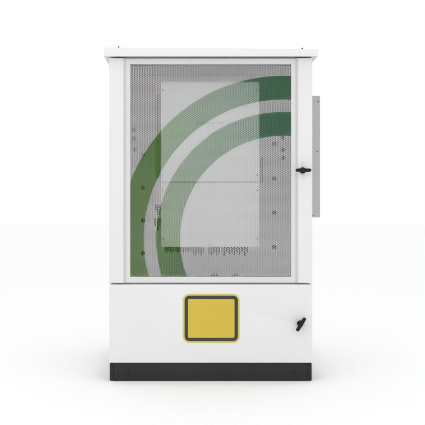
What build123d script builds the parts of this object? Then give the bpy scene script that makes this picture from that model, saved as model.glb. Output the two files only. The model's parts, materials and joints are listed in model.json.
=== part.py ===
from build123d import *
import os
from math import cos, pi, radians, sin

# Outdoor battery cabinet. X runs left to right, Y front to back, Z up from the ground.
# The origin is the centre of the four anchor holes, on the ground. Millimetres throughout.

# Driving dimensions of the cabinet body
width = 1400  # across the doors
depth = 1350  # front door face to rear panel face
plinth_height = 126
body_top = 2235  # top of the ceiling, where the roof sits
sheet = 2.5  # folded sheet steel of the walls and doors
wall = 36  # thickness of the double-skinned walls, and width of a post
post_depth = 60
post_sheet = 3
floor_height = 40
ceiling_height = 40
deck_height = 64  # shelf between the two front compartments
bulkhead_depth = 30
bulkhead_y = -130  # front face of the wall between equipment and batteries

# Doors
door_floor_gap = 2  # under the lower door
lower_door_height = 538
door_gap = 12  # between the two doors
door_head_gap = 8  # between the upper door and the roof
door_depth = 43
seal_gap = 10  # between the back of a door and the front of the posts
seal_width = 10
seal_clearance = 0.3
seal_inset = 2  # from the inner edge of the posts
seal_ends = 4  # inside the ends of a door
seal_lap = 14  # over the front of the ceiling
border = 98  # flat strip down each side of the upper door
step_width = 46  # set-back strip between the border and the grille
step_depth = 12
rail_height = 40  # top and bottom bars of the upper door
liner_sheet = 2

# Grille of the upper door
grille_sheet = 1.5
grille_overlap = 15  # behind the set-back strip
hole_pitch = 176
hole_across = 150  # across the corners of a hexagonal hole

# Pivots of the doors
pivot_inset_x = 10  # from the side of the cabinet to the pivot line
pivot_inset_y = 30  # from the front of the door to the pivot line
pin_radius = 5
pin_clearance = 0.06
pin_length = 30
tab_width = 22
tab_sheet = 4
tab_gap = 2  # between a pivot tab and the end of a door
tab_nose = 10  # of the tab past the pivot line
pivot_block = 40
notch_width = 40
notch_height = 12

# Turning handles and latches
upper_handle_inset = 67  # from the right side of the cabinet
lower_handle_inset = 84
lower_handle_turn = 58  # how far the lower handle stands turned
rose_radius = 22
rose_depth = 8
sleeve_radius = 12
sleeve_clearance = 0.3
shaft_radius = 7
shaft_clearance = 0.06
handle_neck = 10
handle_reach = 36  # from the door face to the back of the bar
bar_length = 108
bar_height = 26
bar_end_height = 16
bar_depth = 14
bar_bevel = 3
cam_reach = 26
cam_width = 12
cam_depth = 6
cam_gap = 10  # from the front of the posts to the cam
keeper_sheet = 4
keeper_start = 19  # from the shaft to the tongue
keeper_low = -3
keeper_high = 16
keeper_gap = 1
keeper_foot = 30  # of its foot along the post
keeper_foot_top = 40

# Roof
roof_overhang = 33
roof_skirt = 59  # height of the roof's edge at its left side
roof_fall = 12  # the roof drops this much towards the right
roof_sheet = 2
soffit_width = 62
eye_inset_x, eye_inset_y = 90, 123  # from the edges of the roof
eye_ring = 12  # radius of the ring's centre line
eye_wire = 5
eye_collar_radius = 12
eye_collar_height = 8
eye_neck = 15  # from the roof to the ring's centre
eye_facets = 12

# Rear service panels
rear_panel_depth = 30
panel_gap = 4
panel_top_gap = 10
panel_bolt_inset = 22
panel_bolt_end = 30
panel_bolt_rows = 4

# Plinth
plinth_inset = 5  # behind the door face
plinth_side_width = 30
plinth_side_inset = 2
plinth_sheet = 4
plinth_flange = 60
anchor_inset_x = 68  # from the ends of the long channels
anchor_inset_y = 35  # from the plinth's front
anchor_radius = 9
plinth_bolt_inset, plinth_bolt_z = 92, 58
plinth_bolt_radius = 9
plinth_bolt_head = 7
plinth_washer_radius = 12
plinth_washer = 2.5

# Exhaust hood and fans on the right wall
hood_depth = 300
hood_set_back = 312  # from the front of the posts to the middle of the hood and fans
hood_margin = 28.5  # above and below the fans
hood_reach = 90
hood_slope = 16
hood_sheet = 2
hood_screw_radius = 5
hood_screw_head = 2.5
hood_screw_inset = 15
fan_size = 272
fan_drop = 629  # from the ceiling to the middle fan
fan_pitch = 275
fan_bore = 127.5
fan_facets = 36
fan_motor_radius = 40
fan_motor_depth = 18
fan_spoke = 9
fan_shaft_radius = 4
fan_shaft_clearance = 0.06
fan_shaft_inset = 1.5  # inside the outer face of the wall
hub_radius = 38
hub_facets = 14
hub_depth = 13
hub_gap = 1.5
blade_count = 7
blade_radius = 121
blade_root = 4  # of each blade inside the hub
blade_pitch = 32  # degrees
blade_sheet = 2.5
blade_chord = 15

# Power conversion unit in the upper compartment
unit_width = 700
unit_lift = 214  # above the deck
unit_head_gap = 106  # under the ceiling
wiring_height = 460  # of the lower part, to the joint between the covers
unit_set_back = 150  # from the door face to the covers
unit_cover = 20
unit_sheet = 4
unit_corner = 12
cover_gap = 4
rail_width = 60
rail_depth = 30
rail_ends = 20  # past the unit's bottom and top
unit_rail_x = 250
screw_radius = 6
screw_head = 3
screw_facets = 8
screw_inset = 17
indicator_drop = 294  # below the top of the unit
indicator_length = 210
indicator_height = 60
indicator_depth = 4
gland_set_back = 105  # behind the back of the covers
gland_nut = 18
gland_facets = 12
gland_row = [(-0.83, 26, 44), (0.09, 34, 48), (0.32, 22, 48), (0.52, 36, 52), (0.72, 24, 69)]
connector_row = [(-0.54, 0.166), (-0.235, 0.11)]  # place and half-width, as shares of half the unit
deck_gland_places = [0.1, 0.54]
connector_depth = 60
connector_drop = 44
deck_gland_radius = 17
deck_gland_height = 14
bolt_across = 20
bolt_head = 8
bolt_pitch = 262
bolt_side_gap = 147  # from the unit's side to the lower bolts
bolt_side_step = 66  # further out to the upper bolts
bolt_upper_pitch = 72

# Lower compartment
plate_side_gap = 104
plate_margin = 32  # above the floor and under the deck
breaker_x = -300
breaker_width, breaker_height, breaker_depth = 140, 260, 90
nose_width, nose_height, nose_depth = 60, 110, 16
slot_width, slot_height, slot_depth = 20, 64, 34
toggle_width = 18
toggle_reach = 46
toggle_hub = 9
toggle_pin = 3
toggle_pin_seat = 2  # of the pin in each wall of the slot
toggle_rest = 25  # degrees above level, switched on
toggle_set = 12  # pivot line behind the face of the nose
control_width, control_height, control_depth = 460, 320, 180
control_x = 250
control_corner = 4

# Batteries
pack_side_gap = 8
pack_rear_gap = 60
pack_height = 290
pack_nose = 18  # raised front of a pack, with its handles and plugs
pack_nose_margin = 40
pack_rows = 5
pack_first = 34  # from the floor to the underside of the lowest pack
upright = 40
upright_sheet = 3
runner_sheet = 3

# Worked out from the dimensions above
side_x = width / 2
front_y, rear_y = -depth / 2, depth / 2
post_front = front_y + door_depth + seal_gap
post_rear = rear_y - rear_panel_depth
lower_door_bottom = plinth_height + door_floor_gap
lower_door_top = lower_door_bottom + lower_door_height
upper_door_bottom = lower_door_top + door_gap
upper_door_top = body_top - door_head_gap
upper_handle_x = side_x - upper_handle_inset
upper_handle_z = (upper_door_bottom + upper_door_top) / 2
lower_handle_x = side_x - lower_handle_inset
lower_handle_z = (lower_door_bottom + lower_door_top) / 2
door_back = front_y + door_depth
inner_x = side_x - wall
floor_top = plinth_height + floor_height
ceiling_bottom = body_top - ceiling_height
deck_middle = (lower_door_top + upper_door_bottom) / 2
deck_bottom, deck_top = deck_middle - deck_height / 2, deck_middle + deck_height / 2
step_x = side_x - border  # where the border ends
sight_x = step_x - step_width  # where the grille shows
step_y = front_y + step_depth
pivot_x = -side_x + pivot_inset_x
pivot_y = front_y + pivot_inset_y
sight_low, sight_high = upper_door_bottom + rail_height, upper_door_top - rail_height
bulkhead_back = bulkhead_y + bulkhead_depth
unit_back = bulkhead_y - rail_depth
unit_front = front_y + unit_set_back
unit_bottom = deck_top + unit_lift
unit_split = unit_bottom + wiring_height
unit_top = ceiling_bottom - unit_head_gap
hood_y = post_front + hood_set_back
fan_z = ceiling_bottom - fan_drop

os.makedirs("parts", exist_ok=True)


def save(piece, label):
    piece.part.label = label
    export_step(piece.part, "parts/" + label + ".step")


def block(x, y, z, mode=Mode.ADD):
    """A box between two values on each axis, in the open part."""
    with Locations(((x[0] + x[1]) / 2, (y[0] + y[1]) / 2, (z[0] + z[1]) / 2)):
        Box(x[1] - x[0], y[1] - y[0], z[1] - z[0], mode=mode)


def rod(axis, at, radius, start, end, mode=Mode.ADD):
    """A round bar or bore along one axis, between two values on it."""
    middle = (start + end) / 2
    places = {"x": (middle, *at), "y": (at[0], middle, at[1]), "z": (*at, middle)}
    turns = {"x": (0, 90, 0), "y": (90, 0, 0), "z": (0, 0, 0)}
    with Locations(Location(places[axis], turns[axis])):
        Cylinder(radius, end - start, mode=mode)


def tube(plane, x, y, thickness):
    """A hollow rectangle drawn on a plane, between two values each way."""
    with BuildSketch(plane) as section:
        with Locations(((x[0] + x[1]) / 2, (y[0] + y[1]) / 2)):
            Rectangle(x[1] - x[0], y[1] - y[0])
            Rectangle(x[1] - x[0] - 2 * thickness, y[1] - y[0] - 2 * thickness, mode=Mode.SUBTRACT)
    return section.sketch


def column(x, y, z, thickness):
    """An upright hollow rectangle between two values on each axis."""
    extrude(tube(Plane.XY.offset(z[0]), x, y, thickness), amount=z[1] - z[0])


def slab(y, z):
    """A double-skinned level panel from wall to wall."""
    extrude(tube(Plane.YZ, y, z, sheet), amount=inner_x, both=True)


# ---- Plinth: two long channels between two side channels ----
plinth_x = side_x - plinth_side_inset
plinth_y = -front_y - plinth_inset
rail_x = plinth_x - plinth_side_width
anchor_x = rail_x - anchor_inset_x
anchor_y = plinth_y - anchor_inset_y


def plinth_cross_rail(label, side):
    """A channel along X with its web outwards. side is -1 at the front and 1 at the rear."""
    with BuildPart() as rail:
        with BuildSketch(Plane.YZ):
            with Locations((side * (plinth_y - plinth_flange / 2), plinth_height / 2)):
                Rectangle(plinth_flange, plinth_height)
            with Locations((side * (plinth_y - plinth_sheet - plinth_flange / 2), plinth_height / 2)):
                Rectangle(plinth_flange, plinth_height - 2 * plinth_sheet, mode=Mode.SUBTRACT)
        extrude(amount=rail_x, both=True)
        for x in (-anchor_x, anchor_x):
            rod("z", (x, side * anchor_y), anchor_radius, 0, plinth_sheet, Mode.SUBTRACT)
    save(rail, label)


def plinth_side_rail(label, side):
    """A channel along Y, open inwards, closed at both ends. side is -1 left and 1 right."""
    with BuildPart() as rail:
        with BuildSketch(Plane.XZ):
            with Locations((side * (plinth_x - plinth_side_width / 2), plinth_height / 2)):
                Rectangle(plinth_side_width, plinth_height)
            with Locations((side * (rail_x + plinth_side_width / 2 - plinth_sheet), plinth_height / 2)):
                Rectangle(plinth_side_width, plinth_height - 2 * plinth_sheet, mode=Mode.SUBTRACT)
        extrude(amount=plinth_y, both=True)
        outer, inner = side * plinth_x, side * rail_x
        for end in (-1, 1):
            face, back = end * plinth_y, end * (plinth_y - plinth_sheet)
            block(sorted((outer, inner)), sorted((face, back)), (0, plinth_height))
    save(rail, label)


plinth_cross_rail("plinth_front_rail", -1)
plinth_cross_rail("plinth_rear_rail", 1)
plinth_side_rail("plinth_left_rail", -1)
plinth_side_rail("plinth_right_rail", 1)

with BuildPart() as plinth_bolts:
    for side in (-1, 1):
        for x in (plinth_bolt_inset - rail_x, rail_x - plinth_bolt_inset):
            face = side * plinth_y
            top = face + side * plinth_washer
            rim = Plane((x, min(face, top), plinth_bolt_z), x_dir=(1, 0, 0), z_dir=(0, 1, 0))
            with BuildSketch(rim):
                RegularPolygon(plinth_washer_radius, screw_facets)
            extrude(amount=plinth_washer)
            with BuildSketch(Plane((x, top, plinth_bolt_z), x_dir=(1, 0, 0), z_dir=(0, side, 0))):
                RegularPolygon(plinth_bolt_radius, 6)
            extrude(amount=plinth_bolt_head)
save(plinth_bolts, "plinth_bolts")

# ---- Body: posts, double-skinned walls, floor, ceiling, deck and bulkhead ----
for label, side, y in (
    ("post_front_left", -1, (post_front, post_front + post_depth)),
    ("post_front_right", 1, (post_front, post_front + post_depth)),
    ("post_rear_left", -1, (post_rear - post_depth, post_rear)),
    ("post_rear_right", 1, (post_rear - post_depth, post_rear)),
):
    with BuildPart() as post:
        column(sorted((side * inner_x, side * side_x)), y, (plinth_height, body_top), post_sheet)
    save(post, label)

wall_y = (post_front + post_depth, post_rear - post_depth)
with BuildPart() as left_side_panel:
    column((-side_x, -inner_x), wall_y, (plinth_height, body_top), sheet)
save(left_side_panel, "left_side_panel")

bay_y = (hood_y - fan_size / 2, hood_y + fan_size / 2)
bay_half = fan_pitch + fan_size / 2
bay_z = (fan_z - bay_half, fan_z + bay_half)
hood_bottom, hood_top = bay_z[0] - hood_margin, bay_z[1] + hood_margin
with BuildPart() as right_side_panel:
    column((inner_x, side_x), wall_y, (plinth_height, body_top), sheet)
    block(
        (inner_x, side_x),
        (bay_y[0] - sheet, bay_y[1] + sheet),
        (bay_z[0] - sheet, bay_z[1] + sheet),
    )
    block((inner_x, side_x), bay_y, bay_z, Mode.SUBTRACT)
save(right_side_panel, "right_side_panel")

with BuildPart() as floor_panel:
    slab((post_front, post_rear), (plinth_height, floor_top))
save(floor_panel, "floor_panel")

with BuildPart() as ceiling_panel:
    slab((post_front, post_rear), (ceiling_bottom, body_top))
save(ceiling_panel, "ceiling_panel")

with BuildPart() as deck_panel:
    slab((post_front, bulkhead_y), (deck_bottom, deck_top))
save(deck_panel, "deck_panel")

with BuildPart() as bulkhead:
    column((-inner_x, inner_x), (bulkhead_y, bulkhead_back), (floor_top, ceiling_bottom), sheet)
save(bulkhead, "bulkhead")

# ---- Roof: a folded tray that falls to the right, with an inward soffit ----
roof_x = side_x + roof_overhang
roof_y = -front_y + roof_overhang
eave = body_top
eye_x, eye_y = roof_x - eye_inset_x, roof_y - eye_inset_y
with BuildPart() as roof_canopy:
    with BuildSketch(Plane.XZ):
        with BuildLine():
            Polyline(
                (-roof_x, eave),
                (roof_x, eave),
                (roof_x, eave + roof_skirt - roof_fall),
                (-roof_x, eave + roof_skirt),
                close=True,
            )
        make_face()
    extrude(amount=roof_y, both=True)
    edges_up = roof_canopy.edges().filter_by(Axis.Z)
    fillet(edges_up, roof_sheet * 3)
    offset(amount=-roof_sheet, openings=roof_canopy.faces().sort_by(Axis.Z)[0])
    with BuildSketch(Plane.XY.offset(eave)):
        Rectangle(2 * roof_x - roof_sheet, 2 * roof_y - roof_sheet)
        Rectangle(2 * (roof_x - soffit_width), 2 * (roof_y - soffit_width), mode=Mode.SUBTRACT)
    extrude(amount=roof_sheet)
save(roof_canopy, "roof_canopy")


def roof_height(x):
    """Height of the roof's top face at a place across the cabinet."""
    return eave + roof_skirt - roof_fall * (x + roof_x) / (2 * roof_x)


with BuildPart() as eye:
    with BuildSketch(Plane.YZ.offset(-eye_wire)):
        RegularPolygon(eye_ring + eye_wire, eye_facets)
        RegularPolygon(eye_ring - eye_wire, eye_facets, mode=Mode.SUBTRACT)
    extrude(amount=2 * eye_wire)
    chamfer(eye.edges().filter_by(Axis.X, reverse=True), eye_wire / 2)
    with BuildSketch(Plane.XY.offset(-eye_neck - eye_wire / 2)):
        RegularPolygon(eye_collar_radius, eye_facets)
    extrude(amount=eye_collar_height)

with BuildPart() as lifting_eyes:
    for x in (-eye_x, eye_x):
        seat = roof_height(x) + roof_fall * eye_collar_radius / (2 * roof_x)
        centre_z = seat + eye_neck + eye_wire / 2
        with Locations((x, -eye_y, centre_z), (x, eye_y, centre_z)):
            add(eye.part)
save(lifting_eyes, "lifting_eyes")

# ---- Seals on the front of the posts ----
seal_x = inner_x + seal_inset
seal_face = door_back + seal_clearance
with BuildPart() as door_seals:
    for low, high in (
        (lower_door_bottom + seal_ends, lower_door_top - seal_ends),
        (upper_door_bottom + seal_ends, ceiling_bottom + seal_lap),
    ):
        with BuildSketch(Plane.XZ.offset(-post_front)):
            with Locations((0, (low + high) / 2)):
                Rectangle(2 * (seal_x + seal_width), high - low)
                Rectangle(2 * seal_x, high - low - 2 * seal_width, mode=Mode.SUBTRACT)
        extrude(amount=post_front - seal_face)
save(door_seals, "door_seals")

# ---- Pivot tabs with their pins ----
tab_x = (-side_x, -side_x + tab_width)
tab_y = (pivot_y - tab_nose, post_front)
with BuildPart() as hinge_brackets:
    top_tab = upper_door_top + tab_gap
    middle_tab = deck_middle - tab_sheet / 2
    bottom_tab = lower_door_bottom + tab_gap
    for low, down, up in (
        (top_tab, pin_length, 0),
        (middle_tab, pin_length, pin_length),
        (bottom_tab, 0, pin_length),
    ):
        block(tab_x, tab_y, (low, low + tab_sheet))
        rod("z", (pivot_x, pivot_y), pin_radius, low - down, low + tab_sheet + up)
save(hinge_brackets, "hinge_brackets")

# ---- Latch keepers on the right front post ----
cam_y = post_front + cam_gap
with BuildPart() as latch_keepers:
    for x, z in ((upper_handle_x, upper_handle_z), (lower_handle_x, lower_handle_z)):
        tongue_y = (cam_y - keeper_gap - keeper_sheet, cam_y - keeper_gap)
        foot_y = (tongue_y[0], tongue_y[0] + keeper_foot)
        block((x + keeper_start, inner_x), tongue_y, (z + keeper_low, z + keeper_high))
        block((inner_x - keeper_sheet, inner_x), foot_y, (z + keeper_low, z + keeper_foot_top))
save(latch_keepers, "latch_keepers")

# ---- Rear service panels and their bolts ----
panel_low, panel_high = plinth_height + panel_gap, body_top - panel_top_gap
with BuildPart() as rear_panels:
    for side in (-1, 1):
        edges_x = sorted((side * panel_gap / 2, side * (side_x - plinth_side_inset)))
        block(edges_x, (post_rear, rear_y), (panel_low, panel_high))
        inside_x = (edges_x[0] + sheet, edges_x[1] - sheet)
        hollow = (post_rear, rear_y - sheet)
        block(inside_x, hollow, (panel_low + sheet, panel_high - sheet), Mode.SUBTRACT)
save(rear_panels, "rear_panels")

with BuildPart() as rear_panel_bolts:
    step = (panel_high - panel_low - 2 * panel_bolt_end) / (panel_bolt_rows - 1)
    for side in (-1, 1):
        for x in (side * panel_bolt_inset, side * (side_x - panel_bolt_inset)):
            for row in range(panel_bolt_rows):
                z = panel_low + panel_bolt_end + row * step
                with BuildSketch(Plane((x, rear_y, z), x_dir=(1, 0, 0), z_dir=(0, 1, 0))):
                    RegularPolygon(bolt_across / 2, 6)
                extrude(amount=bolt_head)
save(rear_panel_bolts, "rear_panel_bolts")

# ---- Exhaust hood on the right wall, open below ----
hood_low_y, hood_high_y = hood_y - hood_depth / 2, hood_y + hood_depth / 2
hood_x = side_x + hood_reach
with BuildPart() as exhaust_hood:
    with BuildSketch(Plane.XZ.offset(-hood_high_y)):
        with BuildLine():
            Polyline(
                (side_x, hood_bottom),
                (hood_x, hood_bottom),
                (hood_x, hood_top - hood_slope),
                (side_x, hood_top),
                close=True,
            )
        make_face()
    extrude(amount=hood_depth)
    with BuildSketch(Plane.XZ.offset(-hood_high_y + hood_sheet)):
        with BuildLine():
            Polyline(
                (side_x, hood_bottom),
                (hood_x - hood_sheet, hood_bottom),
                (hood_x - hood_sheet, hood_top - hood_slope - hood_sheet),
                (side_x, hood_top - hood_sheet),
                close=True,
            )
        make_face()
    extrude(amount=hood_depth - 2 * hood_sheet, mode=Mode.SUBTRACT)
save(exhaust_hood, "exhaust_hood")

with BuildPart() as hood_screws:
    for face, out in ((hood_low_y, -1), (hood_high_y, 1)):
        for x, z in (
            (hood_x - hood_screw_inset, hood_top - 2 * hood_slope - hood_screw_inset),
            (hood_x - hood_screw_inset, (hood_top + hood_bottom) / 2),
            (side_x + hood_screw_inset, hood_bottom + hood_screw_inset),
        ):
            with BuildSketch(Plane((x, face, z), x_dir=(1, 0, 0), z_dir=(0, out, 0))):
                RegularPolygon(hood_screw_radius, screw_facets)
            extrude(amount=hood_screw_head)
save(hood_screws, "hood_screws")

# ---- Fans in the right wall ----
fan_shaft_end = side_x - fan_shaft_inset
motor_end = inner_x + fan_motor_depth
for index in range(3):
    z = fan_z + (index - 1) * fan_pitch
    with BuildPart() as fan_housing:
        with BuildSketch(Plane.YZ.offset(inner_x)):
            with Locations((hood_y, z)):
                Rectangle(fan_size, fan_size)
                RegularPolygon(fan_bore, fan_facets, mode=Mode.SUBTRACT)
        extrude(amount=wall)
        with BuildSketch(Plane.YZ.offset(inner_x)):
            with Locations((hood_y, z)):
                Rectangle(2 * fan_bore + 1, fan_spoke)
                Rectangle(fan_spoke, 2 * fan_bore + 1)
        extrude(amount=fan_motor_depth / 2)
        with BuildSketch(Plane.YZ.offset(inner_x)):
            with Locations((hood_y, z)):
                RegularPolygon(fan_motor_radius, hub_facets)
        extrude(amount=fan_motor_depth)
        rod("x", (hood_y, z), fan_shaft_radius, motor_end, fan_shaft_end)
    save(fan_housing, "fan_housing_" + str(index + 1))

    hub_start = motor_end + hub_gap
    with BuildPart() as fan_rotor:
        with BuildSketch(Plane.YZ.offset(hub_start)):
            with Locations((hood_y, z)):
                RegularPolygon(hub_radius, hub_facets)
        extrude(amount=hub_depth)
        for blade in range(blade_count):
            turn = 2 * pi * blade / blade_count
            root_radius = hub_radius - blade_root
            root = Plane(
                origin=(
                    hub_start + hub_depth / 2,
                    hood_y + cos(turn) * root_radius,
                    z + sin(turn) * root_radius,
                ),
                x_dir=(1, 0, 0),
                z_dir=(0, cos(turn), sin(turn)),
            )
            with BuildSketch(root):
                Rectangle(blade_sheet, blade_chord, rotation=90 - blade_pitch)
            extrude(amount=blade_radius - root_radius)
        rod(
            "x",
            (hood_y, z),
            fan_shaft_radius + fan_shaft_clearance,
            hub_start - hub_gap,
            hub_start + hub_depth + 5,
            Mode.SUBTRACT,
        )
    save(fan_rotor, "fan_rotor_" + str(index + 1))

# ---- Power conversion unit: housing, covers, screws, indicator strip and cable fittings ----
unit_x = unit_width / 2
with BuildPart() as unit_rails:
    for x in (-unit_rail_x, unit_rail_x):
        with BuildSketch(Plane.XY.offset(unit_bottom - rail_ends)):
            with Locations((x, bulkhead_y - rail_depth / 2)):
                Rectangle(rail_width, rail_depth)
            with Locations((x, bulkhead_y - rail_depth / 2 + unit_sheet)):
                Rectangle(rail_width - 2 * unit_sheet, rail_depth, mode=Mode.SUBTRACT)
        extrude(amount=unit_top - unit_bottom + 2 * rail_ends)
save(unit_rails, "unit_rails")

unit_inner_front = unit_front + unit_cover
with BuildPart() as unit_body:
    block((-unit_x, unit_x), (unit_inner_front, unit_back), (unit_bottom, unit_top))
    chamfer(unit_body.edges().filter_by(Axis.Y), unit_corner / 2)
    offset(amount=-unit_sheet, openings=unit_body.faces().sort_by(Axis.Y)[0])
save(unit_body, "unit_body")

for label, low, high in (
    ("unit_wiring_cover", unit_bottom, unit_split - cover_gap / 2),
    ("unit_upper_cover", unit_split + cover_gap / 2, unit_top),
):
    with BuildPart() as cover:
        block((-unit_x, unit_x), (unit_front, unit_inner_front), (low, high))
        fillet(cover.edges().filter_by(Axis.Y), unit_corner)
        chamfer(cover.faces().sort_by(Axis.Y)[0].edges(), unit_sheet)
        block(
            (-unit_x + unit_corner, unit_x - unit_corner),
            (unit_front + unit_sheet, unit_inner_front),
            (low + unit_corner, high - unit_corner),
            Mode.SUBTRACT,
        )
    save(cover, label)

cover_screw_x = unit_x - screw_inset
with BuildPart() as unit_screws:
    places = [(0, unit_top - screw_inset), (0, unit_split - screw_inset), (0, unit_bottom + screw_inset)]
    for x in (-cover_screw_x, cover_screw_x):
        for z in (
            unit_top - 3.5 * screw_inset,
            unit_split + 3 * screw_inset,
            unit_split - 3.5 * screw_inset,
            unit_bottom + 3.5 * screw_inset,
        ):
            places.append((x, z))
    for x, z in places:
        with BuildSketch(Plane((x, unit_front, z), x_dir=(1, 0, 0), z_dir=(0, -1, 0))):
            RegularPolygon(screw_radius, screw_facets)
        extrude(amount=screw_head)
save(unit_screws, "unit_screws")

with BuildPart() as unit_indicator:
    indicator_z = unit_top - indicator_drop
    block(
        (-indicator_length / 2, indicator_length / 2),
        (unit_front - indicator_depth, unit_front),
        (indicator_z - indicator_height / 2, indicator_z + indicator_height / 2),
    )
    fillet(unit_indicator.edges().filter_by(Axis.Y), indicator_height / 4)
save(unit_indicator, "unit_indicator")

gland_y = unit_inner_front + gland_set_back
with BuildPart() as unit_glands:
    for share, radius, drop in gland_row:
        x = share * unit_x
        with BuildSketch(Plane.XY.offset(unit_bottom - gland_nut)):
            with Locations((x, gland_y)):
                RegularPolygon(radius, 6)
        extrude(amount=gland_nut)
        with BuildSketch(Plane.XY.offset(unit_bottom - drop)):
            with Locations((x, gland_y)):
                RegularPolygon(radius * 0.78, gland_facets)
        extrude(amount=drop - gland_nut)
    for share, half_share in connector_row:
        x, half = share * unit_x, half_share * unit_x
        block(
            (x - half, x + half),
            (gland_y - connector_depth / 2, gland_y + connector_depth / 2),
            (unit_bottom - connector_drop, unit_bottom),
        )
save(unit_glands, "unit_glands")

with BuildPart() as deck_glands:
    for share in deck_gland_places:
        with BuildSketch(Plane.XY.offset(deck_top)):
            with Locations((share * unit_x, gland_y)):
                RegularPolygon(deck_gland_radius, 6)
        extrude(amount=deck_gland_height / 2)
        with BuildSketch(Plane.XY.offset(deck_top)):
            with Locations((share * unit_x, gland_y)):
                RegularPolygon(deck_gland_radius * 0.8, gland_facets)
        extrude(amount=deck_gland_height)
    chamfer(deck_glands.edges().group_by(Axis.Z)[-1], deck_gland_height / 4)
save(deck_glands, "deck_glands")

with BuildPart() as bulkhead_bolts:
    lower_x = unit_x + bolt_side_gap
    upper_x = lower_x + bolt_side_step
    bolt_places = [(lower_x, unit_bottom - bolt_across + bolt_pitch * row) for row in range(4)]
    bolt_places += [(upper_x, unit_split + (3 + row) * bolt_upper_pitch) for row in range(3)]
    for x, z in bolt_places:
        for side in (-1, 1):
            with BuildSketch(Plane((side * x, bulkhead_y, z), x_dir=(1, 0, 0), z_dir=(0, -1, 0))):
                RegularPolygon(bolt_across / 2, 6)
            extrude(amount=bolt_head)
save(bulkhead_bolts, "bulkhead_bolts")

# ---- Lower compartment: mounting plate, main breaker and battery control box ----
plate_y = bulkhead_y - rail_depth
plate_half = inner_x - plate_side_gap
plate_low, plate_high = floor_top + plate_margin, deck_bottom - plate_margin
breaker_z = (plate_low + plate_high) / 2
with BuildPart() as equipment_plate:
    with BuildSketch(Plane.XY.offset(plate_low)):
        with Locations((0, bulkhead_y - rail_depth / 2)):
            Rectangle(2 * plate_half, rail_depth)
        with Locations((0, bulkhead_y - rail_depth / 2 + sheet)):
            Rectangle(2 * plate_half - 2 * sheet, rail_depth, mode=Mode.SUBTRACT)
    extrude(amount=plate_high - plate_low)
save(equipment_plate, "equipment_plate")

breaker_face = plate_y - breaker_depth
nose_face = breaker_face - nose_depth
toggle_y = nose_face + toggle_set
with BuildPart() as breaker_body:
    half_x, half_z = breaker_width / 2, breaker_height / 2
    block(
        (breaker_x - half_x, breaker_x + half_x),
        (breaker_face, plate_y),
        (breaker_z - half_z, breaker_z + half_z),
    )
    block(
        (breaker_x - nose_width / 2, breaker_x + nose_width / 2),
        (nose_face, breaker_face),
        (breaker_z - nose_height / 2, breaker_z + nose_height / 2),
    )
    block(
        (breaker_x - slot_width / 2, breaker_x + slot_width / 2),
        (nose_face, nose_face + slot_depth),
        (breaker_z - slot_height / 2, breaker_z + slot_height / 2),
        Mode.SUBTRACT,
    )
    pin_half = slot_width / 2 + toggle_pin_seat
    rod("x", (toggle_y, breaker_z), toggle_pin, breaker_x - pin_half, breaker_x + pin_half)
save(breaker_body, "breaker_body")

with BuildPart() as breaker_toggle:
    rest = radians(toggle_rest)
    toggle_tip = (toggle_y - toggle_reach * cos(rest), breaker_z + toggle_reach * sin(rest))
    with BuildSketch(Plane.YZ.offset(breaker_x - toggle_width / 2)):
        with Locations((toggle_y, breaker_z)):
            Circle(toggle_hub)
        with Locations(toggle_tip):
            Circle(toggle_hub * 0.6)
        make_hull()
        with Locations((toggle_y, breaker_z)):
            Circle(toggle_pin + pin_clearance, mode=Mode.SUBTRACT)
    extrude(amount=toggle_width)
save(breaker_toggle, "breaker_toggle")

with BuildPart() as control_box:
    block(
        (control_x - control_width / 2, control_x + control_width / 2),
        (plate_y - control_depth, plate_y),
        (breaker_z - control_height / 2, breaker_z + control_height / 2),
    )
    chamfer(control_box.edges().filter_by(Axis.Y), control_corner)
    offset(amount=-sheet, openings=control_box.faces().sort_by(Axis.Y)[-1])
save(control_box, "control_box")

# ---- Battery compartment: rack and packs ----
rack_y = (bulkhead_back, post_rear)
pack_y0 = bulkhead_back + upright / 2
pack_depth = post_rear - pack_y0 - pack_rear_gap
pack_width = inner_x - 2 * upright_sheet - 2 * pack_side_gap
pack_pitch = (ceiling_bottom - floor_top - pack_first) / pack_rows
pack_seats = [floor_top + pack_first + row * pack_pitch for row in range(pack_rows)]
with BuildPart() as battery_rack:
    for x, sides in ((-inner_x, (1,)), (0, (-1, 1)), (inner_x, (-1,))):
        for side in sides:
            near, far = x, x + side * upright
            for start in (rack_y[0], rack_y[1] - upright):
                leaf = sorted((near, near + side * upright_sheet))
                block(leaf, (start, start + upright), (floor_top, ceiling_bottom))
            for seat in pack_seats:
                block(sorted((near, far)), rack_y, (seat - runner_sheet, seat))
save(battery_rack, "battery_rack")

for label, side in (("battery_stack_left", -1), ("battery_stack_right", 1)):
    with BuildPart() as stack:
        middle = side * inner_x / 2
        nose_half = pack_width / 2 - pack_nose_margin
        pack_end = pack_y0 + pack_depth
        for seat in pack_seats:
            case_x = (middle - pack_width / 2, middle + pack_width / 2)
            block(case_x, (pack_y0, pack_end), (seat, seat + pack_height))
            nose_z = (seat + pack_nose_margin, seat + pack_height - pack_nose_margin)
            block((middle - nose_half, middle + nose_half), (pack_end, pack_end + pack_nose), nose_z)
    save(stack, label)


# ---- Upper door: side posts, bars and grille ----
def sleeve_hole(x, z):
    """The hole that a handle's sleeve passes through."""
    rod("y", (x, z), sleeve_radius + sleeve_clearance, front_y - 1, door_back + 1, Mode.SUBTRACT)


def pivot_bore(low, high):
    """The bore that turns on a pivot pin."""
    rod("z", (pivot_x, pivot_y), pin_radius + pin_clearance, low, high, Mode.SUBTRACT)


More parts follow.
